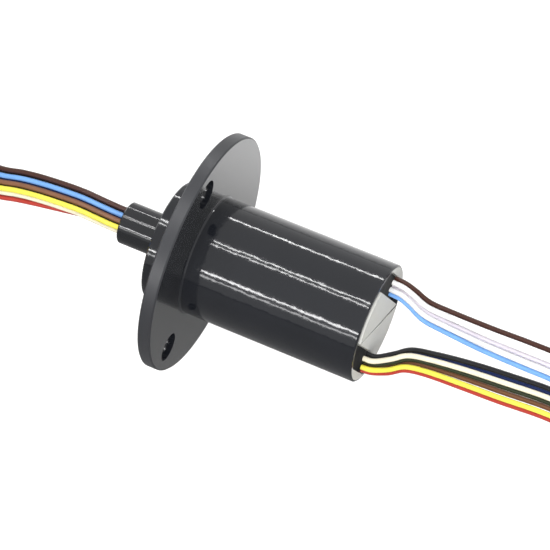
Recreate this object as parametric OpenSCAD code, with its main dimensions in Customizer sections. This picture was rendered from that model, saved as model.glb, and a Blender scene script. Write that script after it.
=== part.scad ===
// Through-wall slip ring with a mounting flange, twelve circuits, flying leads on both sides.
//
// Own frame: the origin is the centre of the bolt circle on the flange's back face.
// +X runs along the barrel towards the fixed leads, +Z is up through the first bolt hole.
// The rotor turns about the X axis. All lengths are in millimetres.

/* [Housing] */
// Diameter of the long barrel behind the flange
barrel_d = 22; // [21.6:0.2:24]
// Wall thickness of the barrel
barrel_wall = 1.4; // [1.2:0.1:1.5]
// Diameter of the mounting flange
flange_d = 44.5; // [42.5:0.5:50]
// Thickness of the mounting flange
flange_t = 2.5; // [2:0.1:3]
// Diameter of the bearing boss in front of the flange
boss_d = 22.2; // [20:0.2:24]
// Length of the bearing boss in front of the flange
boss_l = 5; // [4.5:0.1:7]
// Diameter of the circle that the bolt holes lie on
bolt_circle_d = 35.5; // [34:0.5:36]
// Diameter of each bolt hole
bolt_hole_d = 5.3; // [3:0.1:5.5]
// Number of bolt holes
bolt_count = 3; // [3, 4, 6]
// Bevel of the outer edges of the housing
edge_bevel = 0.25; // [0.1:0.05:0.25]
// Radius of the fillets where the flange meets the barrel and the boss
root_fillet = 0.4; // [0.2:0.1:0.6]

/* [Rotor] */
// Diameter of the hollow rotor shaft
shaft_d = 7.8; // [7.4:0.1:8]
// Bore of the rotor shaft, which the turning leads run in
shaft_bore_d = 5.8; // [5.6:0.1:6]
// Length of shaft that stands out of the boss
shaft_out = 8.7; // [7:0.1:12]
// Outer diameter of the slip rings
ring_d = 10.4; // [10.2:0.1:10.8]
// Width of each slip ring
ring_w = 1.1; // [1:0.05:1.3]
// Width of the insulating rib between two slip rings
rib_w = 0.8; // [0.6:0.1:1]
// Height of the insulating ribs above the slip rings
rib_rise = 0.6; // [0.4:0.1:0.7]
// Free length between the last rib and the carrier of the rear bearing
stack_room = 2.2; // [1:0.1:5]

/* [Brushes] */
// Diameter of each brush wire
brush_d = 0.3; // [0.2:0.05:0.35]
// Distance between the two wires that ride on one slip ring
brush_pair = 0.5; // [0.45:0.05:0.6]
// Length of brush wire past the point where it touches the ring
brush_past = 1.8; // [1:0.1:2.5]
// Inner bend radius of a brush wire
brush_bend = 0.5; // [0.3:0.05:0.6]
// Width of each brush board
board_w = 11; // [10:0.5:11.5]
// Thickness of each brush board
board_t = 0.8; // [0.6:0.1:1]

/* [Bearings] */
// Outer diameter of the front bearing
front_bearing_d = 16; // [15.6:0.2:17]
// Width of the front bearing
front_bearing_w = 5; // [4:0.5:5]
// Outer diameter of the rear bearing
rear_bearing_d = 8; // [7.6:0.2:9]
// Bore of the rear bearing
rear_bearing_bore = 4; // [3.6:0.2:4]
// Width of the rear bearing
rear_bearing_w = 3; // [2.5:0.5:3]

/* [Rear end] */
// Width of the rim ring that closes the barrel
rim_w = 1; // [0.8:0.1:1.4]
// Wall of the barrel around the rim ring
rim_skin = 0.35; // [0.3:0.05:0.5]
// Diameter of the opening in the rim ring
rim_opening_d = 20.2; // [19.4:0.1:20.4]
// Distance between the two straight lips of that opening
rim_lips = 18.2; // [17.8:0.1:18.8]
// Diameter of the split end plate
plate_d = 19; // [18:0.1:19.1]
// Distance between the two flats of the end plate
plate_flats = 9.7; // [9.4:0.1:9.7]
// Thickness of the end plate
plate_t = 1.3; // [1:0.1:1.6]
// Gap between the plate's halves at its wide end
split_wide = 0.6; // [0.3:0.1:0.8]
// Gap between the plate's halves at its narrow end
split_narrow = 0.14; // [0.1:0.02:0.3]

/* [Leads] */
// Outer diameter of one lead's insulation
wire_d = 0.95; // [0.7:0.05:0.95]
// Length of every lead from its outlet
lead_l = 250; // [200:10:300]
// Mean diameter of the coil that the rest of the leads is wound into
coil_d = 26; // [24:1:30]
// Distance between the turns of a coil
coil_pitch = 5.3; // [5:0.1:6]

/* [Hidden] */
$fn = 96;

// Clearances
fit_gap = 0.02;      // radial, between pieces that are pressed or pushed together
running_gap = 0.04;  // radial, between balls and races
brush_gap = 0.03;    // between a brush wire and the flanks of its groove
swing_gap = 0.3;     // least distance between turning and fixed pieces

// Housing, front to back
boss_x = -flange_t - boss_l;
front_seat_l = boss_l + 0.8;
front_seat_x = boss_x + front_seat_l;
cavity_x = 0.4;
cavity_r = barrel_d / 2 - barrel_wall;
shoulder_r = front_bearing_d / 2 - 1.2;
rim_r = barrel_d / 2 - rim_skin;

// Rotor stack
circuits = 12;
ring_pitch = ring_w + rib_w;
stack_x = cavity_x + 0.4;
stack_l = circuits * ring_pitch + rib_w;
stack_end = stack_x + stack_l;
groove_w = 2 * (brush_d / 2 + brush_gap) / sin(45) - 0.02;
groove_bottom_r = ring_d / 2 - groove_w / 2;
brush_r = groove_bottom_r + (brush_d / 2 + brush_gap) / sin(45);
sleeve_r = ring_d / 2 - 0.7;
tip_x = boss_x - shaft_out;
tip_recess = 0.5;
plug_x = tip_x + tip_recess;
plug_l = 2;

// Rear bearing and its carrier
carrier_x = stack_end + stack_room;
carrier_lip = 0.6;
rear_bearing_x = carrier_x + carrier_lip;
rear_shoulder_r = rear_bearing_bore / 2 + 0.6;
carrier_l = carrier_lip + rear_bearing_w + 1.2;
carrier_end = carrier_x + carrier_l;
potting_l = 0.9;
end_x = carrier_end + potting_l;
barrel_end = end_x + rim_w;
window_w = 2;         // of each window that the fixed leads pass through
window_h = 5;
plate_sink = 0.15;    // from the end plate's face to the resin in its gap

// Ball races, as shares of the space between bore and outside
front_ball_n = 10;
rear_ball_n = 7;
race_share = 0.28;
cage_t = 0.35;

// Circlip in front of the front bearing
circlip_t = 0.6;
circlip_rise = 0.9;
circlip_sink = 0.35;
circlip_mouth = 50;

// Brush blocks and boards
section_lean = 30;                        // the blocks, lips and flats are turned by this about X
board_r = brush_r + brush_bend + brush_d / 2 + 0.5;
brush_reach = 3.6;                        // straight length of a wire before it touches its ring
brush_foot = brush_bend + brush_d / 2 + brush_reach;
solder_r = 0.32;
solder_h = 0.22;
block_end = carrier_x;

// Leads: [colour name, colour]
COLOURS = [
    ["black", "#1b1b1d"], ["brown", "#4a2d22"], ["red", "#c02a20"], ["tan", "#7c553c"],
    ["yellow", "#d8c52c"], ["olive", "#2c3320"], ["blue", "#1d2f63"], ["lavender", "#9c8188"],
    ["cream", "#dcd3b4"], ["white", "#eeeeec"], ["grey", "#c3c4c2"], ["light_blue", "#6ea8e6"]
];

// Places in a bundle, as [across, deep] from its middle, turned by lead_lean about X
lead_lean = 33;
PACK = [
    [2, 1.1], [0.85, 1.1], [-0.3, 1.1], [-1.45, 1.1],
    [1.4, 0.05], [0.25, 0.05], [-0.9, 0.05], [-2.05, 0.05],
    [2, -1.15], [0.85, -1.15], [-0.3, -1.15], [-1.45, -1.15]
];

// Each lead: [colour name, place at the outlet, place along the run, place in the coil]
ROTOR_LEADS = [
    ["black", PACK[4], [2, 0], PACK[4]], ["brown", PACK[0], [2.6, 1], PACK[0]],
    ["red", PACK[11], [-2.5, -1], PACK[11]], ["tan", PACK[2], [0.2, 0.9], PACK[2]],
    ["yellow", PACK[3], [-0.95, 1], PACK[3]], ["olive", PACK[6], [-0.4, -0.1], PACK[6]],
    ["blue", PACK[5], [0.8, 0], PACK[5]], ["lavender", PACK[8], [1.6, -1.1], PACK[8]],
    ["cream", PACK[7], [-1.6, 0.1], PACK[7]], ["white", PACK[9], [0.2, -1.1], PACK[9]],
    ["grey", PACK[10], [-1.1, -1.1], PACK[10]], ["light_blue", PACK[1], [1.4, 1], PACK[1]]
];
UPPER_LEADS = [
    ["brown", [1.65, 0], [2.7, 0], PACK[8]], ["white", [0.85, 0.75], [1.4, 1.2], PACK[0]],
    ["lavender", [0.15, -0.4], [0.25, -0.6], PACK[4]], ["grey", [-0.45, 0.7], [-0.7, 0.9], PACK[1]],
    ["light_blue", [-1.15, -0.25], [-1.8, -0.3], PACK[9]]
];
LOWER_LEADS = [
    ["black", [1.4, 0.1], [2.6, 0.6], PACK[5]], ["red", [-1.5, -0.95], [-2.4, -1.5], PACK[7]],
    ["tan", [-0.3, -1.4], [-0.65, -1.9], PACK[11]], ["yellow", [-1.05, 0.1], [-1.7, 0.1], PACK[3]],
    ["olive", [0.1, -0.2], [0.3, -0.4], PACK[6]], ["blue", [1.1, -1.2], [1.9, -1.1], PACK[10]],
    ["cream", [0.5, 1.3], [1.05, 1.5], PACK[2]]
];

// Middle line of each bundle: [distance from the outlet along X, y, z, phase]. Phase 0 is the
// outlet's order of leads, 1 the order along the run and 2 the order in the coil.
ROTOR_LINE = [
    [0, 0, 0.1, 0], [2.3, 0, 0.1, 0], [5.3, 0, 0.2, 0.1], [9.3, 0, 0.2, 0.4], [13.8, 0, -0.4, 0.7],
    [18.3, 0, -1.2, 0.9], [22.3, 0, -2.2, 1], [26.8, 0, -3.7, 1], [33, 1.6, -6.3, 1],
    [40, 4.2, -9.2, 1.4], [47, 6.2, -11.2, 2], [53.3, 6.6, -11.5, 2]
];
UPPER_LINE = [
    [0, 5.2, 4.6, 0], [2.2, 5, 4.6, 0], [4.2, 4.6, 4.1, 0.1], [7.2, 4, 2.9, 0.3], [11.7, 4, 2.2, 0.5],
    [18.7, 4.4, 1, 0.8], [26.2, 5, 0, 1], [32.2, 5.6, -1.2, 1], [38.7, 5.4, -3.8, 1.1],
    [46.7, 2.2, -8.8, 1.6], [53.7, -1.6, -11.6, 2], [58.7, -2.6, -12, 2]
];
LOWER_LINE = [
    [0, -5.8, -3.9, 0], [1.9, -5.5, -4, 0], [4.2, -3.2, -5.2, 0.3], [6.5, -1, -5.6, 0.4],
    [10.2, 0.3, -6.3, 0.5], [16.2, 1.6, -7.4, 0.8], [23.2, 2.8, -8.6, 1], [32.7, 4, -9.7, 1],
    [39.7, 3.6, -11.2, 1.1], [46.7, 0.6, -12.2, 1.6], [53.7, -2, -12.1, 2], [58.7, -2.6, -12, 2]
];
wire_sides = 8;
wire_steps = 2;  // rings of the tube between two points of the middle line

// ---- Helpers ----

// Turns a [radius, x] outline about the X axis
module turned() {
    rotate([0, 90, 0]) rotate_extrude() children();
}

// A straight tube about the X axis
module tube(outer_r, inner_r, x, l) {
    turned() translate([inner_r, x]) square([outer_r - inner_r, l]);
}

// Extrudes an outline drawn in Y and Z along X, turned by an angle about X
module section(x, l, lean = section_lean) {
    translate([x, 0, 0]) rotate([lean, 0, 0]) rotate([90, 0, 90]) linear_extrude(l) children();
}

// A rectangle about the middle of the drawing
module slab(w, h) {
    square([w, h], center = true);
}

// ---- Housing ----

// Points of the fillet in the corner at [r, x] of a wall and a flange, from angle a to angle b
function fillet(r, x, a, b) = [
    for (i = [0:4]) let (turn = a + (b - a) * i / 4)
        [r + root_fillet * (1 - cos(turn)), x + root_fillet * (1 - sin(turn)) * (x < 0 ? -1 : 1)]
];

// Outline of the flange, boss and barrel as one moulded piece
module housing_profile() {
    flange_r = flange_d / 2;
    barrel_r = barrel_d / 2;
    boss_r = boss_d / 2;
    seat_r = front_bearing_d / 2 + fit_gap;
    polygon(concat(
        [[seat_r, boss_x], [boss_r - edge_bevel, boss_x], [boss_r, boss_x + edge_bevel]],
        fillet(boss_r, -flange_t, 0, 90),
        [[flange_r - edge_bevel, -flange_t], [flange_r, edge_bevel - flange_t],
         [flange_r, -edge_bevel], [flange_r - edge_bevel, 0]],
        fillet(barrel_r, 0, 90, 0),
        [[barrel_r, barrel_end - edge_bevel], [barrel_r - edge_bevel, barrel_end],
         [rim_r, barrel_end], [rim_r, end_x], [cavity_r, end_x], [cavity_r, cavity_x],
         [shoulder_r, cavity_x], [shoulder_r, front_seat_x], [seat_r, front_seat_x]]
    ));
}

module housing() {
    color("#1c1c1e") difference() {
        turned() housing_profile();
        for (i = [0:bolt_count - 1]) {
            rotate([90 + i * 360 / bolt_count, 0, 0]) translate([-flange_t - 1, bolt_circle_d / 2, 0])
                rotate([0, 90, 0]) cylinder(d = bolt_hole_d, h = flange_t + 2);
        }
    }
}

// ---- Rotor ----

module rotor_shaft() {
    bore_r = shaft_bore_d / 2;
    shaft_r = shaft_d / 2;
    clip_r = shaft_r - circlip_sink;
    clip_x = front_inner_x() - circlip_t;
    color("#202022") turned() polygon([
        [bore_r, tip_x], [shaft_r - edge_bevel, tip_x], [shaft_r, tip_x + edge_bevel],
        [shaft_r, clip_x], [clip_r, clip_x], [clip_r, clip_x + circlip_t],
        [shaft_r, clip_x + circlip_t], [shaft_r, stack_end + 0.5], [rear_shoulder_r, stack_end + 0.5],
        [rear_shoulder_r, rear_bearing_x], [rear_bearing_bore / 2, rear_bearing_x],
        [rear_bearing_bore / 2, rear_bearing_x + rear_bearing_w + 0.3],
        [0, rear_bearing_x + rear_bearing_w + 0.3], [0, stack_end - 1], [bore_r, stack_end - 1]
    ]);
}

// Front face of the front bearing's races
function front_inner_x() = front_seat_x - front_bearing_w;

// Insulating sleeve with a rib on each side of every slip ring
module ring_sleeve() {
    bore_r = shaft_d / 2 + fit_gap;
    color("#2c6b45") turned() {
        translate([bore_r, front_seat_x]) square([sleeve_r - bore_r, stack_end - front_seat_x]);
        for (i = [0:circuits]) {
            translate([bore_r, stack_x + i * ring_pitch]) square([ring_d / 2 + rib_rise - bore_r, rib_w]);
        }
    }
}

// One slip ring with two V grooves for its pair of brush wires
module slip_ring(i) {
    x = stack_x + rib_w + i * ring_pitch;
    color("#d9b04a") turned() difference() {
        translate([sleeve_r + fit_gap, x]) square([ring_d / 2 - sleeve_r - fit_gap, ring_w]);
        for (side = [-1, 1]) {
            translate([ring_d / 2, x + ring_w / 2 + side * brush_pair / 2]) rotate(45)
                square(groove_w / sqrt(2), center = true);
        }
    }
}

// Open spring clip with an eye at each end
module circlip() {
    inner_r = shaft_d / 2 - circlip_sink + fit_gap;
    outer_r = shaft_d / 2 + circlip_rise;
    eye_r = 0.55;
    color("#8a8c8e") section(front_inner_x() - circlip_t, circlip_t, 0) difference() {
        union() {
            circle(outer_r);
            for (side = [-1, 1]) {
                rotate(90 + side * circlip_mouth / 2) translate([outer_r - eye_r / 2, -side * 0.1]) circle(eye_r);
            }
        }
        circle(inner_r);
        polygon([[0, 0], for (side = [-1, 1]) 2 * outer_r * [sin(side * circlip_mouth / 2 - side * 6),
                                                           cos(circlip_mouth / 2 - 6)]]);
    }
}

module rotor_potting() {
    color("#101012") tube(shaft_bore_d / 2 - fit_gap, 0, plug_x, plug_l);
}

// ---- Bearings ----

function race_step(inner_r, outer_r) = race_share * (outer_r - inner_r);
function ball_r(inner_r, outer_r) = 0.3 * (outer_r - inner_r);

// Ring of a ball bearing with its ball track
module race(inner_r, outer_r, x, w, mid_r, track_r) {
    color("#b9bcc0") turned() difference() {
        translate([inner_r, x]) square([outer_r - inner_r, w]);
        translate([mid_r, x + w / 2]) circle(track_r);
    }
}

module outer_race(bore_r, outside_r, x, w) {
    race(outside_r - race_step(bore_r, outside_r), outside_r, x, w, (bore_r + outside_r) / 2,
         ball_r(bore_r, outside_r) + running_gap);
}

module inner_race(bore_r, outside_r, x, w) {
    race(bore_r, bore_r + race_step(bore_r, outside_r), x, w, (bore_r + outside_r) / 2,
         ball_r(bore_r, outside_r) + running_gap);
}

// Balls of one bearing, held by a thin cage ring
module ball_set(bore_r, outside_r, x, w, count) {
    mid_r = (bore_r + outside_r) / 2;
    color("#d5d7da") {
        for (i = [0:count - 1]) {
            rotate([i * 360 / count, 0, 0]) translate([x + w / 2, mid_r, 0]) rotate([90, 0, 0])
                sphere(ball_r(bore_r, outside_r), $fn = 24);
        }
        tube(mid_r + cage_t / 2, mid_r - cage_t / 2, x + w / 4, w / 2);
    }
}

module front_outer_race() {
    bore_r = shaft_d / 2 + fit_gap;
    outer_race(bore_r, front_bearing_d / 2, front_inner_x(), front_bearing_w);
    // front shield, crimped into the outer race
    color("#a7aaae") tube(front_bearing_d / 2 - 0.6, bore_r + race_step(bore_r, front_bearing_d / 2) + 0.1,
                          front_inner_x(), 0.25);
}

module front_inner_race() {
    inner_race(shaft_d / 2 + fit_gap, front_bearing_d / 2, front_inner_x(), front_bearing_w);
}

module front_balls() {
    ball_set(shaft_d / 2 + fit_gap, front_bearing_d / 2, front_inner_x(), front_bearing_w, front_ball_n);
}

module rear_outer_race() {
    outer_race(rear_bearing_bore / 2 + fit_gap, rear_bearing_d / 2, rear_bearing_x, rear_bearing_w);
}

module rear_inner_race() {
    inner_race(rear_bearing_bore / 2 + fit_gap, rear_bearing_d / 2, rear_bearing_x, rear_bearing_w);
}

module rear_balls() {
    ball_set(rear_bearing_bore / 2 + fit_gap, rear_bearing_d / 2, rear_bearing_x, rear_bearing_w, rear_ball_n);
}

// Disc that holds the rear bearing and lets the fixed leads through two windows
module rear_carrier() {
    seat_r = rear_bearing_d / 2 + fit_gap;
    color("#2a2a2c") difference() {
        turned() polygon([
            [rear_shoulder_r + swing_gap, carrier_x], [cavity_r - fit_gap, carrier_x],
            [cavity_r - fit_gap, carrier_end], [seat_r, carrier_end],
            [seat_r, rear_bearing_x], [rear_shoulder_r + swing_gap, rear_bearing_x]
        ]);
        section(carrier_x - 1, carrier_l + 2) for (side = [-1, 1]) {
            translate([side * (plate_flats / 2 + 1.6), 0]) slab(window_w, window_h);
        }
    }
}

// Resin that closes the barrel behind the end plate and stands in the plate's gap
module stator_potting() {
    color("#141416") {
        tube(cavity_r - fit_gap, 0, carrier_end, potting_l);
        section(end_x - potting_l / 2, potting_l / 2 + plate_t - plate_sink) intersection() {
            plate_outline();
            plate_gap();
        }
    }
}

// ---- Brushes ----

// Insulating block between a board and the barrel, with a lip along each edge of the board
module brush_block() {
    color("#3a3a3e") section(cavity_x, block_end - cavity_x) difference() {
        circle(cavity_r - fit_gap);
        translate([board_r - 2 * barrel_d, -barrel_d]) square(2 * barrel_d);
        translate([board_r - 1, -board_w / 2 - fit_gap]) square([board_t + 1, board_w + 2 * fit_gap]);
    }
}

module brush_board() {
    color("#1f5d3a") section(cavity_x, block_end - cavity_x)
        translate([board_r, -board_w / 2]) square([board_t, board_w]);
}

// One brush wire in the plane of its ring: foot on the board, bend, arm along the groove
module brush_wire() {
    bend_r = brush_bend + brush_d / 2;
    bend_y = brush_r + bend_r;
    translate([board_r, brush_foot, 0]) rotate([0, -90, 0]) cylinder(d = brush_d, h = board_r - bend_y, $fn = 24);
    translate([bend_y, brush_foot - bend_r, 0]) rotate([0, 0, 90])
        rotate_extrude(angle = 90) translate([bend_r, 0]) circle(d = brush_d, $fn = 24);
    translate([brush_r, brush_foot - bend_r, 0]) rotate([90, 0, 0])
        cylinder(d = brush_d, h = brush_foot - bend_r + brush_past, $fn = 24);
    translate([board_r, brush_foot, 0]) rotate([0, -90, 0]) cylinder(r = solder_r, h = solder_h, $fn = 24);
}

// All brush wires of one board, a pair for each slip ring
module brush_set() {
    color("#e3bd5c") for (i = [0:circuits - 1]) {
        for (side = [-1, 1]) {
            x = stack_x + rib_w + i * ring_pitch + ring_w / 2 + side * brush_pair / 2;
            translate([x, 0, 0]) rotate([section_lean, 0, 0]) rotate([90, 0, 90]) brush_wire();
        }
    }
}

// The same piece on the other side of the rotor
module opposite() {
    rotate([180, 0, 0]) children();
}

// ---- Rear end ----

// Light ring set into the end of the barrel, with a lip beside each slot for the leads
module rim_ring() {
    color("#d6d6d2") section(end_x, rim_w) difference() {
        circle(rim_r - fit_gap);
        intersection() {
            circle(d = rim_opening_d);
            slab(rim_lips, rim_opening_d);
        }
    }
}

// Outline of the whole end plate
module plate_outline() {
    intersection() {
        circle(d = plate_d);
        slab(plate_flats, plate_d);
    }
}

// Angle of the end plate's corner, and half the width of the gap at a distance along it
function plate_corner() = atan2(sqrt(plate_d * plate_d - plate_flats * plate_flats), plate_flats);
function gap_half(along) = (split_wide + split_narrow) / 4 + (split_wide - split_narrow) * along / plate_d / 2;

// Tapered gap between opposite corners of the end plate, cut a little past both
module plate_gap() {
    reach = 0.55 * plate_d;
    rotate(-plate_corner()) polygon([
        [-reach, -gap_half(-reach)], [reach, -gap_half(reach)],
        [reach, gap_half(reach)], [-reach, gap_half(-reach)]
    ]);
}

// Half of the split end plate: the side above or below the gap
module end_plate(side) {
    color("#dcdcd7") section(end_x, plate_t) difference() {
        intersection() {
            plate_outline();
            rotate(-plate_corner()) translate([0, side * plate_d / 2]) slab(2 * plate_d, plate_d);
        }
        plate_gap();
    }
}

// ---- Leads ----

function blend(a, b, t) = a * (1 - t) + b * t;
function leaned(p) = [p[0] * cos(lead_lean) - p[1] * sin(lead_lean), p[0] * sin(lead_lean) + p[1] * cos(lead_lean)];
function place(lead, phase) = phase < 1 ? blend(lead[1], lead[2], phase) : blend(lead[2], lead[3], phase - 1);

// Points of one lead: the middle line plus the lead's own place in the bundle
function lead_points(line, lead, x0, way) = [
    for (p = line) let (d = leaned(place(lead, p[3]))) [x0 + way * p[0], p[1] + d[0], p[2] + d[1]]
];

// Point of a smooth curve between a[i] and a[i + 1], at share t
function on_curve(a, i, t) = let (
    n = len(a) - 1,
    p = a[i],
    q = a[i + 1],
    before = i > 0 ? a[i - 1] : 2 * p - q,
    after = i + 1 < n ? a[i + 2] : 2 * q - p
) 0.5 * (2 * p + (q - before) * t + (2 * before - 5 * p + 4 * q - after) * t * t
    + (3 * p - 3 * q + after - before) * t * t * t);

function smooth(a, steps) = [
    for (i = [0:len(a) - 2], s = [0:steps - 1]) on_curve(a, i, s / steps),
    a[len(a) - 1]
];

function unit(v) = v / norm(v);
function run_length(a, i = 1) = i < len(a) ? norm(a[i] - a[i - 1]) + run_length(a, i + 1) : 0;

// Direction of a tube at point i; both ends look straight along X
function heading(a, i, way) = i == 0 || i == len(a) - 1 ? [way, 0, 0] : unit(a[i + 1] - a[i - 1]);

// A round tube of many flat sides along a list of points
module wire_tube(a, way) {
    n = len(a);
    rings = [
        for (i = [0:n - 1]) let (
            ahead = heading(a, i, way),
            side = unit(cross(ahead, [0, 0, 1])),
            up = cross(side, ahead)
        ) for (k = [0:wire_sides - 1]) let (turn = 360 * (k + 0.5) / wire_sides)
            a[i] + wire_d / 2 * (cos(turn) * side + sin(turn) * up)
    ];
    polyhedron(
        points = rings,
        faces = concat(
            [[for (k = [0:wire_sides - 1]) k]],
            [for (i = [0:n - 2], k = [0:wire_sides - 1]) let (next = (k + 1) % wire_sides) [
                i * wire_sides + k, (i + 1) * wire_sides + k,
                (i + 1) * wire_sides + next, i * wire_sides + next
            ]],
            [[for (k = [wire_sides - 1:-1:0]) (n - 1) * wire_sides + k]]
        )
    );
}

function shade(name) = [for (c = COLOURS) if (c[0] == name) c[1]][0];

module rotor_lead(lead) {
    color(shade(lead[0])) wire_tube(smooth(lead_points(ROTOR_LINE, lead, plug_x, -1), wire_steps), -1);
}

module stator_lead(lead, line) {
    color(shade(lead[0])) wire_tube(smooth(lead_points(line, lead, end_x, 1), wire_steps), 1);
}

// Drum that a coil of leads fills, entered at its top by the bundle's last point
module coil(line, x0, way, wind) {
    last = line[len(line) - 1];
    travel = coil_pitch * (lead_l - run_length([for (p = line) [p[0], p[1], p[2]]])) / (PI * coil_d);
    bundle_w = 5.6;
    bundle_h = 5.2;
    translate([x0 + way * last[0], last[1] + wind * travel / 2, last[2] - coil_d / 2]) rotate([90, 0, 0])
        rotate_extrude() translate([coil_d / 2, 0]) slab(bundle_h, travel + bundle_w);
}

module rotor_coil() {
    color("#6c655f") coil(ROTOR_LINE, plug_x, -1, -1);
}

module stator_coil() {
    color("#6c655f") coil(UPPER_LINE, end_x, 1, 1);
}

housing();
rotor_shaft();
ring_sleeve();
circlip();
rotor_potting();
front_outer_race();
front_inner_race();
front_balls();
rear_outer_race();
rear_inner_race();
rear_balls();
rear_carrier();
stator_potting();
brush_block();  // brush_block_a
opposite() brush_block();  // brush_block_b
brush_board();  // brush_board_a
opposite() brush_board();  // brush_board_b
brush_set();  // brushes_a
opposite() brush_set();  // brushes_b
rim_ring();
end_plate(1);  // end_plate_a
end_plate(-1);  // end_plate_b
rotor_coil();
stator_coil();
for (i = [0:circuits - 1]) slip_ring(i);
for (lead = ROTOR_LEADS) rotor_lead(lead);
for (lead = UPPER_LEADS) stator_lead(lead, UPPER_LINE);
for (lead = LOWER_LEADS) stator_lead(lead, LOWER_LINE);
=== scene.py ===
"""Looks of a flanged through-wall slip ring with twelve circuits and flying leads on both sides."""

import logging
import math
from dataclasses import dataclass, field
from enum import Enum

import bmesh
import bpy
from mathutils import Matrix, Vector


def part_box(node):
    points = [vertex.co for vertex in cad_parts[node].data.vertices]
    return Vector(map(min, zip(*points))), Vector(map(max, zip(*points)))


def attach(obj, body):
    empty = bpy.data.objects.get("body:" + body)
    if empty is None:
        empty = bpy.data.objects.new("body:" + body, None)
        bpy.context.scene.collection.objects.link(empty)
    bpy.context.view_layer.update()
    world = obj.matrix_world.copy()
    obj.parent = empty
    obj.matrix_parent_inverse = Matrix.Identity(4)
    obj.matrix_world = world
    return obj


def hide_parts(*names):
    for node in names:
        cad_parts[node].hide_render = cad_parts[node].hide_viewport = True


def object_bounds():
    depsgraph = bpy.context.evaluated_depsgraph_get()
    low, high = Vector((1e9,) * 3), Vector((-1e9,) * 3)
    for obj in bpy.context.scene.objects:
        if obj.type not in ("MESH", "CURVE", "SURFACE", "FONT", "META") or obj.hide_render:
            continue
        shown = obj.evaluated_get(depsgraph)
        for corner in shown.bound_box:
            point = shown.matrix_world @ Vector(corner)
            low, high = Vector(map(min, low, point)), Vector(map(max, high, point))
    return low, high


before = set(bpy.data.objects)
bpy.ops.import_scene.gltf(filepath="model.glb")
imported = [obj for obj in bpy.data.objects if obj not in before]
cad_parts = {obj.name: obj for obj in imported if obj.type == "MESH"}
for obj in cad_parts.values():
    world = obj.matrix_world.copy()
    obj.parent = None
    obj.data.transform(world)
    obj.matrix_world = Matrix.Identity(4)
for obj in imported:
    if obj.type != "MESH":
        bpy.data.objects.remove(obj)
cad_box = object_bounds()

log = logging.getLogger("slip_ring")

MM = 0.001
Place = tuple[float, float]
Colour = tuple[float, float, float]


# ---------------------------------------------------------------- shader maths


class Sock:
    """An output socket that takes part in Python expressions."""

    def __init__(self, tree: bpy.types.NodeTree, socket: bpy.types.NodeSocket) -> None:
        """Wraps a socket of a node tree.

        Args:
            tree: the tree that holds the socket.
            socket: the output to wrap.
        """
        self.tree = tree
        self.socket = socket

    def _math(self, operation: str, *values: "Sock | float") -> "Sock":
        """Adds one Math node.

        Args:
            operation: the node's operation.
            values: its inputs, in order.

        Returns:
            The node's result.
        """
        node = self.tree.nodes.new("ShaderNodeMath")
        node.operation = operation
        for socket, value in zip(node.inputs, values):
            join(self.tree, socket, value)
        return Sock(self.tree, node.outputs[0])

    def __add__(self, other: "Sock | float") -> "Sock":
        """Sum of two values."""
        return self._math("ADD", self, other)

    def __sub__(self, other: "Sock | float") -> "Sock":
        """Difference of two values."""
        return self._math("SUBTRACT", self, other)

    def __rsub__(self, other: "Sock | float") -> "Sock":
        """Difference with the socket on the right."""
        return self._math("SUBTRACT", other, self)

    def __mul__(self, other: "Sock | float") -> "Sock":
        """Product of two values."""
        return self._math("MULTIPLY", self, other)

    def __pow__(self, other: "Sock | float") -> "Sock":
        """Power of a value."""
        return self._math("POWER", self, other)

    def size(self) -> "Sock":
        """Absolute value."""
        return self._math("ABSOLUTE", self)

    __radd__ = __add__
    __rmul__ = __mul__


def join(tree: bpy.types.NodeTree, socket: bpy.types.NodeSocket, value: object) -> None:
    """Links a wrapped socket to an input, or sets the input's value.

    Args:
        tree: the tree that holds both.
        socket: the input.
        value: a wrapped socket, a number, a colour or a vector.
    """
    if isinstance(value, Sock):
        tree.links.new(value.socket, socket)
    elif isinstance(value, (tuple, list)) and len(value) == 3 and len(socket.default_value) == 4:
        socket.default_value = (*value, 1.0)
    else:
        socket.default_value = value


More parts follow.
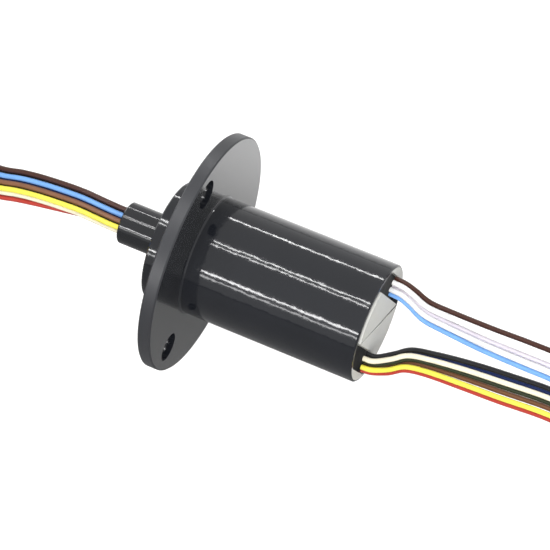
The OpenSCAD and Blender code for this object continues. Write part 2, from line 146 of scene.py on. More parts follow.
class Shader:
    """Builds one material's nodes around a Principled surface."""

    def __init__(self, name: str) -> None:
        """Starts an empty material.

        Args:
            name: the material's name.
        """
        self.material = bpy.data.materials.new(name)
        self.material.use_nodes = True
        self.tree = self.material.node_tree
        self.surface = self.tree.nodes["Principled BSDF"]

    def node(self, kind: str, settings: dict | None = None, out: int | str = 0, **inputs: object) -> Sock:
        """Adds any node.

        Args:
            kind: the node's type without its ShaderNode prefix.
            settings: the node's own settings, set first; "ramp" gives a colour ramp's stops.
            out: the output to return.
            inputs: values or links, by socket name with underscores for spaces.

        Returns:
            The chosen output.
        """
        node = self.tree.nodes.new("ShaderNode" + kind)
        for key, value in (settings or {}).items():
            if key == "ramp":
                for stop, (place, shade) in zip(self._stops(node, len(value)), value):
                    stop.position = place
                    stop.color = (*shade, 1.0)
            else:
                setattr(node, key, value)
        for key, value in inputs.items():
            sockets = [s for s in node.inputs if s.name == key.replace("_", " ") and s.enabled]
            join(self.tree, sockets[0], value)
        return Sock(self.tree, node.outputs[out])

    @staticmethod
    def _stops(node: bpy.types.Node, count: int) -> list[bpy.types.ColorRampElement]:
        """Gives a ramp the number of stops that it needs.

        Args:
            node: the colour ramp.
            count: how many stops it gets.

        Returns:
            The stops, in order.
        """
        elements = node.color_ramp.elements
        while len(elements) < count:
            elements.new(1.0)
        return list(elements)

    def noise(self, scale: float, detail: float = 3.0, roughness: float = 0.5) -> Sock:
        """Noise over the object's own coordinates.

        Args:
            scale: cells to a metre.
            detail: octaves.
            roughness: weight of the finer octaves.

        Returns:
            A value from 0 to 1.
        """
        where = self.node("TexCoord", out="Object")
        return self.node("TexNoise", None, "Fac", Vector=where, Scale=scale, Detail=detail, Roughness=roughness)

    def tint(self, low: Colour, high: Colour, share: Sock) -> Sock:
        """Colour between two colours.

        Args:
            low: colour where share is 0.
            high: colour where share is 1.
            share: a value from 0 to 1.

        Returns:
            The mixed colour.
        """
        node = self.tree.nodes.new("ShaderNodeMix")
        node.data_type = "RGBA"
        self.tree.links.new(share.socket, node.inputs[0])
        node.inputs[6].default_value = (*low, 1.0)
        node.inputs[7].default_value = (*high, 1.0)
        return Sock(self.tree, node.outputs[2])

    def mix(self, low: Sock, high: Sock, share: Sock) -> Sock:
        """Colour between two colours that are worked out.

        Args:
            low: colour where share is 0.
            high: colour where share is 1.
            share: a value from 0 to 1.

        Returns:
            The mixed colour.
        """
        node = self.tree.nodes.new("ShaderNodeMix")
        node.data_type = "RGBA"
        for socket, value in ((node.inputs[0], share), (node.inputs[6], low), (node.inputs[7], high)):
            join(self.tree, socket, value)
        return Sock(self.tree, node.outputs[2])

    def bump(self, height: Sock, depth: float) -> Sock:
        """Relief for the surface's normal.

        Args:
            height: a value from 0 to 1.
            depth: height of the relief in metres.

        Returns:
            The bent normal.
        """
        return self.node("Bump", None, "Normal", Height=height, Distance=depth, Strength=1.0)

    def set(self, **values: object) -> None:
        """Sets inputs of the surface.

        Args:
            values: values or links, by socket name with underscores for spaces.
        """
        for key, value in values.items():
            join(self.tree, self.surface.inputs[key.replace("_", " ")], value)


# ---------------------------------------------------------------- finishes


def scaled(colour: Colour, factor: float) -> Colour:
    """A colour made lighter or darker."""
    return tuple(min(1.0, c * factor) for c in colour)


@dataclass(frozen=True)
class GlossMoulding:
    """Black plastic from a polished mould, with a faint orange peel."""

    name: str
    colour: Colour
    roughness: float = 0.09
    peel: float = 0.00003
    peel_scale: float = 560.0

    def material(self) -> bpy.types.Material:
        """Builds the material."""
        s = Shader(self.name)
        cloud = s.noise(90.0, 2.0)
        haze = s.noise(1400.0, 2.0)
        s.set(
            Base_Color=s.tint(scaled(self.colour, 0.8), scaled(self.colour, 1.25), cloud),
            Roughness=haze * 0.05 + cloud * 0.03 + (self.roughness - 0.04),
            IOR=1.46,
            Normal=s.bump(s.noise(self.peel_scale, 2.0), self.peel),
        )
        return s.material


@dataclass(frozen=True)
class LappedFace:
    """Flat black face that is lapped after moulding: fine scratches under a hard shine."""

    name: str
    colour: Colour
    roughness: float = 0.16
    scratch: float = 0.0000012

    def material(self) -> bpy.types.Material:
        """Builds the material."""
        s = Shader(self.name)
        where = s.node("TexCoord", out="Object")
        drawn = s.node("Mapping", None, "Vector", Vector=where, Rotation=(0.5, 0.0, 0.0), Scale=(1.0, 0.06, 1.0))
        lines = s.node("TexNoise", None, "Fac", Vector=drawn, Scale=6000.0, Detail=3.0, Roughness=0.6)
        s.set(
            Base_Color=s.tint(scaled(self.colour, 0.7), scaled(self.colour, 1.5), lines),
            Roughness=lines * 0.1 + (self.roughness - 0.05),
            IOR=1.5,
            Coat_Weight=0.75,
            Coat_Roughness=0.14,
            Normal=s.bump(lines, self.scratch),
        )
        return s.material


@dataclass(frozen=True)
class MattMoulding:
    """Plastic or board with a fine matt grain."""

    name: str
    colour: Colour
    roughness: float = 0.5
    grain: float = 0.00001
    spread: float = 0.06

    def material(self) -> bpy.types.Material:
        """Builds the material."""
        s = Shader(self.name)
        cloud = s.noise(260.0, 4.0, 0.6)
        grain = s.noise(5200.0, 2.0)
        s.set(
            Base_Color=s.tint(scaled(self.colour, 1 - self.spread), scaled(self.colour, 1 + self.spread), cloud),
            Roughness=grain * 0.12 + (self.roughness - 0.06),
            IOR=1.48,
            Normal=s.bump(grain, self.grain),
        )
        return s.material


@dataclass(frozen=True)
class RimPlastic:
    """Pale plastic of the rim, with painted shade where the rim is narrow.

    The rim is wide beyond the two straight lips of its opening, which stand at `lip` on each
    side of the middle, across a direction in the Y-Z plane.
    """

    name: str
    colour: Colour
    # colour of the painted shade on the narrow part of the rim
    stain: Colour
    across: tuple[float, float, float] = (0.0, math.cos(math.radians(30)), math.sin(math.radians(30)))
    lip: float = 9.1 * MM
    fade: float = 0.3 * MM
    roughness: float = 0.45

    def material(self) -> bpy.types.Material:
        """Builds the material."""
        s = Shader(self.name)
        where = s.node("TexCoord", out="Object")
        aside = s.node("VectorMath", {"operation": "DOT_PRODUCT"}, "Value")
        self._dot(s, aside, where)
        grain = s.noise(5200.0, 2.0)
        wide = s.node("MapRange", {"interpolation_type": "SMOOTHSTEP"}, "Result", Value=aside.size(),
                      From_Min=self.lip - self.fade, From_Max=self.lip, To_Min=0.0, To_Max=1.0)
        s.set(
            # painted shade: the narrow rim gets the dark colour, the wide rim keeps its pale colour
            Base_Color=s.tint(self.stain, self.colour, wide),
            Roughness=grain * 0.12 + (self.roughness - 0.06),
            IOR=1.48,
            Normal=s.bump(grain, 0.00001),
        )
        return s.material

    def _dot(self, s: Shader, aside: Sock, where: Sock) -> None:
        """Links a dot product's two vectors.

        Args:
            s: the material.
            aside: the node's result.
            where: the place on the object.
        """
        first, second = aside.socket.node.inputs[:2]
        join(s.tree, first, where)
        second.default_value = self.across


@dataclass(frozen=True)
class Resin:
    """Casting resin with a slightly uneven cured face."""

    name: str
    colour: Colour

    def material(self) -> bpy.types.Material:
        """Builds the material."""
        s = Shader(self.name)
        swell = s.noise(700.0, 2.0)
        s.set(
            Base_Color=s.tint(scaled(self.colour, 0.7), scaled(self.colour, 1.6), swell),
            Roughness=swell * 0.2 + 0.4,
            IOR=1.28,
            Normal=s.bump(swell, 0.00008),
        )
        return s.material


@dataclass(frozen=True)
class TurnedMetal:
    """Metal with fine turning or drawing marks round the X axis."""

    name: str
    colour: Colour
    roughness: float = 0.25

    def material(self) -> bpy.types.Material:
        """Builds the material."""
        s = Shader(self.name)
        where = s.node("TexCoord", out="Object")
        marks = s.node("TexWave", {"bands_direction": "X"}, "Fac", Vector=where, Scale=9000.0, Distortion=2.0, Detail=2.0)
        cloud = s.noise(500.0, 2.0)
        s.set(
            Base_Color=s.tint(scaled(self.colour, 0.88), scaled(self.colour, 1.08), cloud),
            Metallic=1.0,
            Roughness=marks * 0.08 + cloud * 0.08 + (self.roughness - 0.08),
            Normal=s.bump(marks, 0.000002),
        )
        return s.material


@dataclass(frozen=True)
class Insulation:
    """Extruded lead insulation: smooth, a little glossy, with faint smudges."""

    name: str
    colour: Colour
    roughness: float = 0.34

    def material(self) -> bpy.types.Material:
        """Builds the material."""
        s = Shader(self.name)
        smudge = s.noise(380.0, 3.0, 0.6)
        fine = s.noise(4200.0, 2.0)
        s.set(
            Base_Color=s.tint(scaled(self.colour, 0.84), scaled(self.colour, 1.1), smudge),
            Roughness=smudge * 0.12 + (self.roughness - 0.06),
            IOR=1.38,
            Normal=s.bump(fine, 0.000006),
        )
        return s.material


HOUSING_BLACK = GlossMoulding("housing_black", (0.009, 0.010, 0.013))
FLANGE_FACE = LappedFace("flange_face", (0.016, 0.017, 0.019))
FLANGE_EDGE = MattMoulding("flange_edge", (0.024, 0.025, 0.029), 0.42)
# the rim's second colour is painted shade on its narrow part
RIM_PLASTIC = RimPlastic("rim_plastic", (0.60, 0.60, 0.57), (0.05, 0.05, 0.055))
SHAFT_BLACK = GlossMoulding("shaft_black", (0.011, 0.012, 0.014), 0.1)
PALE_PLASTIC = MattMoulding("pale_plastic", (0.60, 0.60, 0.57), 0.45)
INNER_PLASTIC = MattMoulding("inner_plastic", (0.03, 0.03, 0.032), 0.5)
INSULATOR_GREEN = MattMoulding("insulator_green", (0.02, 0.15, 0.06), 0.45)
TIE_PLASTIC = MattMoulding("tie_plastic", (0.02, 0.02, 0.02), 0.4)
POTTING_BLACK = Resin("potting_black", (0.01, 0.01, 0.01))
GOLD = TurnedMetal("gold", (0.9, 0.62, 0.24), 0.22)
BEARING_STEEL = TurnedMetal("bearing_steel", (0.56, 0.57, 0.58), 0.28)
SPRING_STEEL = TurnedMetal("spring_steel", (0.3, 0.3, 0.31), 0.35)
TIN = TurnedMetal("tinned_copper", (0.7, 0.69, 0.66), 0.35)


class LeadColour(Enum):
    """Insulation colour of each circuit's lead."""

    BLACK = (0.011, 0.011, 0.012)
    BROWN = (0.048, 0.016, 0.010)
    RED = (0.45, 0.042, 0.028)
    TAN = (0.2, 0.09, 0.045)
    YELLOW = (0.84, 0.76, 0.085)
    OLIVE = (0.026, 0.034, 0.016)
    BLUE = (0.013, 0.03, 0.13)
    LAVENDER = (0.76, 0.71, 0.79)
    CREAM = (0.8, 0.74, 0.57)
    WHITE = (0.85, 0.85, 0.84)
    GREY = (0.74, 0.74, 0.75)
    LIGHT_BLUE = (0.165, 0.36, 0.74)

    @property
    def word(self) -> str:
        """The colour's name as the solids have it."""
        return self.name.lower()

    def finish(self) -> Insulation:
        """The lead's finish."""
        return Insulation("lead_" + self.word, self.value)


# ---------------------------------------------------------------- leads


@dataclass(frozen=True)
class Lead:
    """One lead's places in its bundle: at the outlet, along the run and in the coil."""

    colour: LeadColour
    outlet: Place
    run: Place
    coil: Place

    def place(self, phase: float) -> Place:
        """Place in the bundle.

        Args:
            phase: 0 at the outlet, 1 along the run, 2 in the coil.

        Returns:
            Distance across and deep from the bundle's middle, in millimetres.
        """
        a, b, t = (self.outlet, self.run, phase) if phase < 1 else (self.run, self.coil, phase - 1)
        return (a[0] * (1 - t) + b[0] * t, a[1] * (1 - t) + b[1] * t)


PACK: tuple[Place, ...] = (
    (2, 1.1), (0.85, 1.1), (-0.3, 1.1), (-1.45, 1.1),
    (1.4, 0.05), (0.25, 0.05), (-0.9, 0.05), (-2.05, 0.05),
    (2, -1.15), (0.85, -1.15), (-0.3, -1.15), (-1.45, -1.15),
)

C = LeadColour
ROTOR_LEADS = (
    Lead(C.BLACK, PACK[4], (2, 0), PACK[4]), Lead(C.BROWN, PACK[0], (2.6, 1), PACK[0]),
    Lead(C.RED, PACK[11], (-2.5, -1), PACK[11]), Lead(C.TAN, PACK[2], (0.2, 0.9), PACK[2]),
    Lead(C.YELLOW, PACK[3], (-0.95, 1), PACK[3]), Lead(C.OLIVE, PACK[6], (-0.4, -0.1), PACK[6]),
    Lead(C.BLUE, PACK[5], (0.8, 0), PACK[5]), Lead(C.LAVENDER, PACK[8], (1.6, -1.1), PACK[8]),
    Lead(C.CREAM, PACK[7], (-1.6, 0.1), PACK[7]), Lead(C.WHITE, PACK[9], (0.2, -1.1), PACK[9]),
    Lead(C.GREY, PACK[10], (-1.1, -1.1), PACK[10]), Lead(C.LIGHT_BLUE, PACK[1], (1.4, 1), PACK[1]),
)
UPPER_LEADS = (
    Lead(C.BROWN, (1.65, 0), (2.7, 0), PACK[8]), Lead(C.WHITE, (0.85, 0.75), (1.4, 1.2), PACK[0]),
    Lead(C.LAVENDER, (0.15, -0.4), (0.25, -0.6), PACK[4]), Lead(C.GREY, (-0.45, 0.7), (-0.7, 0.9), PACK[1]),
    Lead(C.LIGHT_BLUE, (-1.15, -0.25), (-1.8, -0.3), PACK[9]),
)
LOWER_LEADS = (
    Lead(C.BLACK, (1.4, 0.1), (2.6, 0.6), PACK[5]), Lead(C.RED, (-1.5, -0.95), (-2.4, -1.5), PACK[7]),
    Lead(C.TAN, (-0.3, -1.4), (-0.65, -1.9), PACK[11]), Lead(C.YELLOW, (-1.05, 0.1), (-1.7, 0.1), PACK[3]),
    Lead(C.OLIVE, (0.1, -0.2), (0.3, -0.4), PACK[6]), Lead(C.BLUE, (1.1, -1.2), (1.9, -1.1), PACK[10]),
    Lead(C.CREAM, (0.5, 1.3), (1.05, 1.5), PACK[2]),
)
ROTOR_LINE = (
    (0, 0, 0.1, 0), (2.3, 0, 0.1, 0), (5.3, 0, 0.2, 0.1), (9.3, 0, 0.2, 0.4), (13.8, 0, -0.4, 0.7),
    (18.3, 0, -1.2, 0.9), (22.3, 0, -2.2, 1), (26.8, 0, -3.7, 1), (33, 1.6, -6.3, 1),
    (40, 4.2, -9.2, 1.4), (47, 6.2, -11.2, 2), (53.3, 6.6, -11.5, 2),
)
UPPER_LINE = (
    (0, 5.2, 4.6, 0), (2.2, 5, 4.6, 0), (4.2, 4.6, 4.1, 0.1), (7.2, 4, 2.9, 0.3), (11.7, 4, 2.2, 0.5),
    (18.7, 4.4, 1, 0.8), (26.2, 5, 0, 1), (32.2, 5.6, -1.2, 1), (38.7, 5.4, -3.8, 1.1),
    (46.7, 2.2, -8.8, 1.6), (53.7, -1.6, -11.6, 2), (58.7, -2.6, -12, 2),
)
LOWER_LINE = (
    (0, -5.8, -3.9, 0), (1.9, -5.5, -4, 0), (4.2, -3.2, -5.2, 0.3), (6.5, -1, -5.6, 0.4),
    (10.2, 0.3, -6.3, 0.5), (16.2, 1.6, -7.4, 0.8), (23.2, 2.8, -8.6, 1), (32.7, 4, -9.7, 1),
    (39.7, 3.6, -11.2, 1.1), (46.7, 0.6, -12.2, 1.6), (53.7, -2, -12.1, 2), (58.7, -2.6, -12, 2),
)


@dataclass
class LeadBundle:
    """Leads that leave one outlet side by side and end in one coil."""

    body: str
    line: tuple[tuple[float, float, float, float], ...]
    leads: tuple[Lead, ...]
    outlet_x: float
    way: int
    wind: int
    lean: float = math.radians(33)
    wire_d: float = 0.95 * MM
    length: float = 250 * MM
    coil_d: float = 26 * MM
    pitch: float = 5.3 * MM
    steps: int = 6
    turn_points: int = 30
    tip_l: float = 2.6 * MM
    tip_d: float = 0.42 * MM
    ends: list[tuple[Vector, Vector]] = field(default_factory=list)

    def offset(self, place: Place) -> Vector:
        """A place in the bundle as a step in Y and Z, in metres."""
        a, d = place[0] * MM, place[1] * MM
        return Vector((0, a * math.cos(self.lean) - d * math.sin(self.lean),
                       a * math.sin(self.lean) + d * math.cos(self.lean)))

    def middle(self, x: float, y: float, z: float) -> Vector:
        """A point of the middle line in the frame, in metres."""
        return Vector((self.outlet_x + self.way * x * MM, y * MM, z * MM))

    def coil_point(self, lead: Lead, angle: float) -> Vector:
        """A point of one lead in the coil.

        Args:
            lead: the lead.
            angle: turn from the coil's top, in radians.

        Returns:
            The point, in metres.
        """
        top = self.middle(*self.line[-1][:3])
        step = self.offset(lead.coil)
        r = self.coil_d / 2 + step.z
        centre = top - Vector((0, 0, self.coil_d / 2))
        return centre + Vector((self.way * r * math.sin(angle),
                                step.y + self.wind * self.pitch * angle / math.tau, r * math.cos(angle)))

    def route(self, lead: Lead) -> list[Vector]:
        """Centreline of one lead at its whole length.

        Args:
            lead: the lead.

        Returns:
            Points from the outlet to the far end.
        """
        knots = [self.middle(*p[:3]) + self.offset(lead.place(p[3])) for p in self.line]
        before = knots[0] - (knots[1] - knots[0])
        turn = math.tau / self.turn_points
        chain = [before, *knots, self.coil_point(lead, 4 * turn)]
        points = []
        for i in range(1, len(chain) - 2):
            points += [on_curve(chain[i - 1:i + 3], s / self.steps) for s in range(self.steps)]
        points.append(knots[-1])
        run = sum((b - a).length for a, b in zip(points, points[1:]))
        angle = 0.0
        while run < self.length:
            angle += turn
            point = self.coil_point(lead, angle)
            run += (point - points[-1]).length
            points.append(point)
        return points

    def build(self) -> list[bpy.types.Object]:
        """Makes every lead of the bundle as a cord.

        Returns:
            The leads.
        """
        made = []
        for lead in self.leads:
            points = self.route(lead)
            name = f"{self.body}_lead_{lead.colour.word}"
            wire = curve_tube(name + "_cord", points, self.wire_d)
            wire.data.materials.append(lead.colour.finish().material())
            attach(wire, self.body)
            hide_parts(name, self.body + "_coil")
            self.ends.append((points[-1], (points[-1] - points[-2]).normalized()))
            made.append(wire)
        log.info("%s: %d leads from x = %.4f", self.body, len(made), self.outlet_x)
        return made


def on_curve(chain: list[Vector], t: float) -> Vector:
    """Point of a smooth curve through the two middle ones of four points.

    Args:
        chain: four points.
        t: share of the way from the second to the third.

    Returns:
        The point.
    """
    a, p, q, b = chain
    return 0.5 * (2 * p + (q - a) * t + (2 * a - 5 * p + 4 * q - b) * t * t + (3 * p - 3 * q + b - a) * t ** 3)


def curve_tube(name: str, points: list[Vector], diameter: float) -> bpy.types.Object:
    """A round tube along points, as a curve of one open spline.

    Args:
        name: the object's name.
        points: its centreline.
        diameter: its thickness.

    Returns:
        The object.
    """
    data = bpy.data.curves.new(name, "CURVE")
    data.dimensions = "3D"
    data.bevel_depth = diameter / 2
    data.bevel_resolution = 3
    data.use_fill_caps = True
    spline = data.splines.new("POLY")
    spline.points.add(len(points) - 1)
    for target, point in zip(spline.points, points):
        target.co = (*point, 1.0)
    spline.use_smooth = True
    tube = bpy.data.objects.new(name, data)
    bpy.context.scene.collection.objects.link(tube)
    return tube


@dataclass
class CoilDress:
    """Ties round a coil and the stripped, tinned tips of its leads."""

    body: str
    bundles: list[LeadBundle]
    tie_turns: tuple[float, ...] = (0.36, 0.64)
    strap_w: float = 2.2 * MM
    strap_t: float = 0.5 * MM
    head: tuple[float, float, float] = (3.2 * MM, 2.8 * MM, 2.2 * MM)

    def ties(self) -> bpy.types.Object:
        """Builds the ties.

        Returns:
            One mesh with every tie of the coil.
        """
        bundle = self.bundles[0]
        run = bundle.length - sum(
            (bundle.middle(*b[:3]) - bundle.middle(*a[:3])).length for a, b in zip(bundle.line, bundle.line[1:]))
        turns = run / (math.pi * bundle.coil_d)
        top = bundle.middle(*bundle.line[-1][:3])
        mesh = bmesh.new()
        for share in self.tie_turns:
            passes = int(turns - share)
            low = bundle.pitch * share - 2.45 * MM
            high = bundle.pitch * (share + passes) + 2.95 * MM
            self._strap(mesh, bundle, top, share * math.tau, low, high)
        tie = mesh_object(self.body + "_coil_ties", mesh, TIE_PLASTIC.material())
        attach(tie, self.body)
        return tie

    def _strap(self, mesh: bmesh.types.BMesh, bundle: LeadBundle, top: Vector, angle: float,
               low: float, high: float) -> None:
        """Adds one tie: a closed strap round the bundle and its head.

        Args:
            mesh: where it goes.
            bundle: gives the coil's place.
            top: the coil's entry point.
            angle: turn of the tie from the coil's top.
            low: start of the wound leads along the coil's axis.
            high: their end.
        """
        inner = bundle.coil_d / 2 - 2.5 * MM
        outer = bundle.coil_d / 2 + 2.7 * MM
        corner = 1.2 * MM
        loop = []
        for r, y, quarter in ((outer, high, 0), (inner, high, 1), (inner, low, 2), (outer, low, 3)):
            cr = r - corner if r == outer else r + corner
            cy = y - corner if y == high else y + corner
            for k in range(5):
                a = math.radians(90 * quarter + 22.5 * k)
                loop.append((cr + corner * math.cos(a), cy + corner * math.sin(a), math.cos(a), math.sin(a)))
        centre = top - Vector((0, 0, bundle.coil_d / 2))
        out = Vector((bundle.way * math.sin(angle), 0, math.cos(angle)))
        along = Vector((bundle.way * math.cos(angle), 0, -math.sin(angle)))
        side = Vector((0, bundle.wind, 0))
        rings = []
        for w, t in ((-0.5, 0), (0.5, 0), (0.5, 1), (-0.5, 1)):
            rings.append([
                mesh.verts.new(centre + out * (r + nr * t * self.strap_t) + side * (y + ny * t * self.strap_t)
                               + along * (w * self.strap_w))
                for r, y, nr, ny in loop
            ])
        for a, b in zip(rings, rings[1:] + rings[:1]):
            for i in range(len(loop)):
                j = (i + 1) % len(loop)
                mesh.faces.new((a[i], a[j], b[j], b[i]))
        place = centre + out * (outer + self.head[2] / 2 - 0.2 * MM) + side * (low + high) / 2
        turn = Matrix((along, side, out)).transposed().to_4x4()
        box = bmesh.ops.create_cube(mesh, size=1.0)["verts"]
        bmesh.ops.transform(mesh, verts=box, matrix=Matrix.Translation(place) @ turn
                            @ Matrix.Diagonal((*self.head, 1.0)))
        edges = list({e for v in box for e in v.link_edges})
        bmesh.ops.bevel(mesh, geom=edges, offset=0.3 * MM, segments=3, affect="EDGES")

    def tips(self) -> bpy.types.Object:
        """Builds the bare ends of the leads.

        Returns:
            One mesh with every tip of the coil.
        """
        mesh = bmesh.new()
        for bundle in self.bundles:
            for end, ahead in bundle.ends:
                turn = ahead.to_track_quat("Z", "Y").to_matrix().to_4x4()
                where = Matrix.Translation(end + ahead * (bundle.tip_l / 2 - 0.3 * MM)) @ turn
                bmesh.ops.create_cone(mesh, cap_ends=True, segments=12, radius1=bundle.tip_d / 2,
                                      radius2=bundle.tip_d / 2.6, depth=bundle.tip_l, matrix=where)
        tip = mesh_object(self.body + "_lead_tips", mesh, TIN.material())
        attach(tip, self.body)
        return tip

    def build(self) -> None:
        """Makes the ties and the tips."""
        self.ties()
        self.tips()
        log.info("%s coil: %d ties, %d tips", self.body, len(self.tie_turns),
                 sum(len(b.ends) for b in self.bundles))


def mesh_object(name: str, mesh: bmesh.types.BMesh, material: bpy.types.Material) -> bpy.types.Object:
    """Turns built geometry into an object.

    Args:
        name: the object's name.
        mesh: the geometry, freed afterwards.
        material: its finish.

    Returns:
        The object, with smooth faces and sharp edges past 35 degrees.
    """
    bmesh.ops.recalc_face_normals(mesh, faces=mesh.faces)
    data = bpy.data.meshes.new(name)
    mesh.to_mesh(data)
    mesh.free()
    data.materials.append(material)
    data.shade_smooth()
    data.set_sharp_from_angle(angle=math.radians(35))
    made = bpy.data.objects.new(name, data)
    bpy.context.scene.collection.objects.link(made)
    return made


# ---------------------------------------------------------------- rigid pieces


@dataclass
class DressedNodes:
    """Solids that keep their own shape and get a finish."""

    finish: GlossMoulding | MattMoulding | RimPlastic | Resin | TurnedMetal
    names: tuple[str, ...]

    def build(self) -> None:
        """Gives every solid the finish."""
        material = self.finish.material()
        for name in self.names:
            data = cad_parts[name].data
            data.materials.clear()
            data.materials.append(material)
        log.info("%s on %d solids", self.finish.name, len(self.names))


def dress_flange() -> None:
    """Gives the flange its lapped back and its matt, turned edge."""
    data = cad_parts["housing"].data
    barrel_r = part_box("rim_ring")[1].z
    edge_r = 0.9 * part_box("housing")[1].z
    for finish in (FLANGE_FACE, FLANGE_EDGE):
        data.materials.append(finish.material())
    for face in data.polygons:
        r = math.hypot(face.center.y, face.center.z)
        if face.normal.x > 0.999 and abs(face.center.x) < 0.05 * MM and r > barrel_r:
            face.material_index = 1
        elif r > edge_r and abs(face.normal.x) < 0.9:
            face.material_index = 2
    log.info("flange dressed: %d slots", len(data.materials))


RINGS = tuple(f"slip_ring_{i}" for i in range(1, 13))
DRESSED = (
    DressedNodes(HOUSING_BLACK, ("housing",)),
    DressedNodes(SHAFT_BLACK, ("rotor_shaft",)),
    DressedNodes(PALE_PLASTIC, ("end_plate_a", "end_plate_b")),
    DressedNodes(RIM_PLASTIC, ("rim_ring",)),
    DressedNodes(POTTING_BLACK, ("rotor_potting", "stator_potting")),
    DressedNodes(INNER_PLASTIC, ("rear_carrier", "brush_block_a", "brush_block_b")),
    DressedNodes(INSULATOR_GREEN, ("ring_sleeve", "brush_board_a", "brush_board_b")),
    DressedNodes(GOLD, ("brushes_a", "brushes_b", *RINGS)),
    DressedNodes(BEARING_STEEL, ("front_outer_race", "front_inner_race", "front_balls",
                                 "rear_outer_race", "rear_inner_race", "rear_balls")),
    DressedNodes(SPRING_STEEL, ("circlip",)),
)


# ---------------------------------------------------------------- studio


@dataclass
class StudioCamera:
    """Camera round the origin: a long lens at a stated turn, height and roll."""

    azimuth: float = math.radians(24.33)
    elevation: float = math.radians(54.71)
    roll: float = math.radians(1.74)
    distance: float = 494.3 * MM
    right: float = 12.09 * MM
    up: float = -3.58 * MM
    lens: float = 182.1

    def axes(self) -> tuple[Vector, Vector, Vector]:
        """The camera's right, up and backward directions."""
        ca, sa = math.cos(self.azimuth), math.sin(self.azimuth)
        ce, se = math.cos(self.elevation), math.sin(self.elevation)
        level, rise = Vector((ca, sa, 0)), Vector((-sa * se, ca * se, ce))
        cr, sr = math.cos(self.roll), math.sin(self.roll)
        return level * cr + rise * sr, rise * cr - level * sr, Vector((sa * ce, -ca * ce, se))

    def build(self) -> bpy.types.Object:
        """Makes the scene's camera.

        Returns:
            The camera.
        """
        right, up, back = self.axes()
        data = bpy.data.cameras.new("camera")
        data.lens = self.lens
        data.sensor_width = 36.0
        data.clip_start = 0.01
        data.clip_end = 20.0
        camera = bpy.data.objects.new("camera", data)
        place = Matrix((right, up, back)).transposed().to_4x4()
        place.translation = back * self.distance + right * self.right + up * self.up
        camera.matrix_world = place
        bpy.context.scene.collection.objects.link(camera)
        bpy.context.scene.camera = camera
        return camera


def area_lamp(name: str, width: float, height: float, power: float, turn: Matrix, place: Vector) -> bpy.types.Object:
    """Makes a rectangular lamp.

    Args:
        name: the lamp's name.
        width: its size along its own X, in metres.
        height: its size along its own Y.
        power: its power in watts.
        turn: its axes as columns; it shines against the third.
        place: its middle.

    Returns:
        The lamp.
    """
    data = bpy.data.lights.new(name, "AREA")
    data.shape = "RECTANGLE"
    data.size = width
    data.size_y = height
    data.energy = power
    lamp = bpy.data.objects.new(name, data)
    lamp.matrix_world = Matrix.Translation(place) @ turn.to_4x4()
    bpy.context.scene.collection.objects.link(lamp)
    return lamp


@dataclass(frozen=True)
class Softbox:
    """A large lamp behind diffusing cloth: it lights the object and isn't mirrored in it."""

    name: str
    toward: Vector
    distance: float
    width: float
    height: float
    power: float

    def build(self) -> None:
        """Makes the lamp."""
        way = self.toward.normalized()
        turn = way.to_track_quat("Z", "X").to_matrix()
        lamp = area_lamp(self.name, self.width, self.height, self.power, turn,
                         way * self.distance + Vector((0.012, 0, 0)))
        lamp.visible_glossy = False


@dataclass(frozen=True)
class StripLamp:
    """A thin lamp parallel to the barrel, which a turned surface mirrors as a streak.

    It stands where the surface that faces the angle `facing` about X, from +Z towards +Y,
    mirrors it to the camera.
    """

    name: str
    facing: float
    width: float
    power: float
    length: float = 0.5
    distance: float = 0.9

    def build(self, back: Vector) -> None:
        """Makes the lamp.

        Args:
            back: direction from the object to the camera.
        """
        angle = math.radians(self.facing)
        normal = Vector((0, math.sin(angle), math.cos(angle)))
        way = 2 * normal.dot(back) * normal - back
        along = Vector((1, 0, 0))
        ahead = Vector((0, way.y, way.z)).normalized()
        turn = Matrix((along, ahead.cross(along), ahead)).transposed()
        lamp = area_lamp(self.name, self.length, self.width, self.power, turn, way * self.distance)
        lamp.visible_diffuse = False


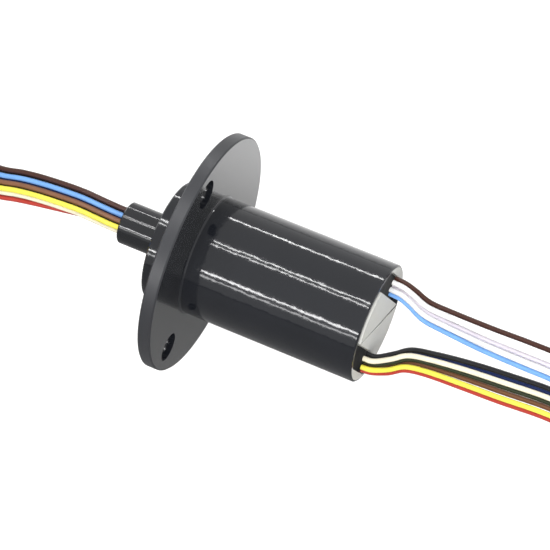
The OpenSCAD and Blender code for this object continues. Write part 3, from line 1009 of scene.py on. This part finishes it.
@dataclass
class Studio:
    """Pale floor, white surroundings and lamps."""

    back: Vector
    lamps: tuple[Softbox, ...] = (
        Softbox("key", Vector((0.1, -0.5, 1.0)), 0.9, 0.9, 0.5, 9.0),
        Softbox("side", Vector((-0.6, 0.6, 0.8)), 0.9, 0.6, 0.3, 3.0),
        Softbox("front", Vector((0.9, -0.8, 0.5)), 0.9, 0.5, 0.5, 3.0),
    )
    strips: tuple[StripLamp, ...] = (
        StripLamp("strip_high", 10.0, 0.025, 1.3),
        StripLamp("strip_middle", -18.5, 0.025, 1.3),
        StripLamp("strip_middle_low", -22.0, 0.02, 1.0),
        StripLamp("strip_low", -48.0, 0.04, 2.0),
        StripLamp("strip_lowest", -52.5, 0.04, 0.8),
    )
    floor_gap: float = 1.5 * MM
    # painted shade: between these distances along Y the mirrored floor goes from dark to its full tone
    shade_y: tuple[float, float] = (20 * MM, 60 * MM)
    ambient: float = 0.35

    def floor(self) -> None:
        """Makes the floor, just below the lowest coil, with painted shade near the object where it is mirrored."""
        mesh = bmesh.new()
        bmesh.ops.create_grid(mesh, x_segments=1, y_segments=1, size=2.5,
                              matrix=Matrix.Translation((0, 0, cad_box[0].z - self.floor_gap)))
        s = Shader("floor")
        grain = s.noise(30.0)
        seen = s.node("LightPath", out="Is Camera Ray")
        mirrored = s.node("LightPath", out="Is Glossy Ray")
        where = s.node("TexCoord", out="Object")
        depth = s.node("SeparateXYZ", None, "Y", Vector=where)
        far = s.node("MapRange", {"interpolation_type": "SMOOTHSTEP"}, "Result", Value=depth,
                     From_Min=self.shade_y[0], From_Max=self.shade_y[1], To_Min=0.0, To_Max=1.0)
        paper = s.tint((0.80, 0.80, 0.80), (0.82, 0.82, 0.82), grain)
        # painted shade of the object's shadow, seen only in reflections of the floor
        shade = s.tint((0.24, 0.24, 0.24), (0.88, 0.88, 0.88), far)
        s.set(Base_Color=s.mix(paper, shade, mirrored), Roughness=0.9, Emission_Color=(1.0, 1.0, 1.0),
              Emission_Strength=seen * 0.3)
        ground = mesh_object("floor", mesh, s.material)

    def surroundings(self) -> None:
        """Sets the world: white to the camera and in reflections, dimmer as light."""
        world = bpy.data.worlds.new("surroundings")
        world.use_nodes = True
        bpy.context.scene.world = world
        tree = world.node_tree
        path = tree.nodes.new("ShaderNodeLightPath")
        seen = Sock(tree, path.outputs["Is Camera Ray"])
        gloss = Sock(tree, path.outputs["Is Glossy Ray"])
        through = Sock(tree, path.outputs["Is Transmission Ray"])
        join(tree, tree.nodes["Background"].inputs["Color"], (1.0, 1.0, 1.0))
        strength = seen._math("MAXIMUM", seen._math("MAXIMUM", seen, gloss), through)
        join(tree, tree.nodes["Background"].inputs["Strength"], strength * (1 - self.ambient) + self.ambient)

    def build(self) -> None:
        """Makes the whole studio."""
        self.floor()
        self.surroundings()
        for lamp in self.lamps:
            lamp.build()
        for strip in self.strips:
            strip.build(self.back)
        bpy.context.scene.view_settings.view_transform = "Standard"
        log.info("studio: %d lamps", len(self.lamps) + len(self.strips))


def main() -> None:
    """Builds the camera, the leads, the dressed solids and the studio, in that order."""
    logging.basicConfig(level=logging.INFO, format="%(name)s: %(message)s")
    camera = StudioCamera()
    camera.build()
    rotor_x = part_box("rotor_potting")[0].x
    stator_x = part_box("stator_potting")[1].x
    rotor = LeadBundle("rotor", ROTOR_LINE, ROTOR_LEADS, rotor_x, -1, -1)
    upper = LeadBundle("stator", UPPER_LINE, UPPER_LEADS, stator_x, 1, 1)
    lower = LeadBundle("stator", LOWER_LINE, LOWER_LEADS, stator_x, 1, 1)
    for bundle in (rotor, upper, lower):
        bundle.build()
    CoilDress("rotor", [rotor]).build()
    CoilDress("stator", [upper, lower]).build()
    for group in DRESSED:
        group.build()
    dress_flange()
    Studio(camera.axes()[2]).build()


if __name__ == "__main__":
    main()
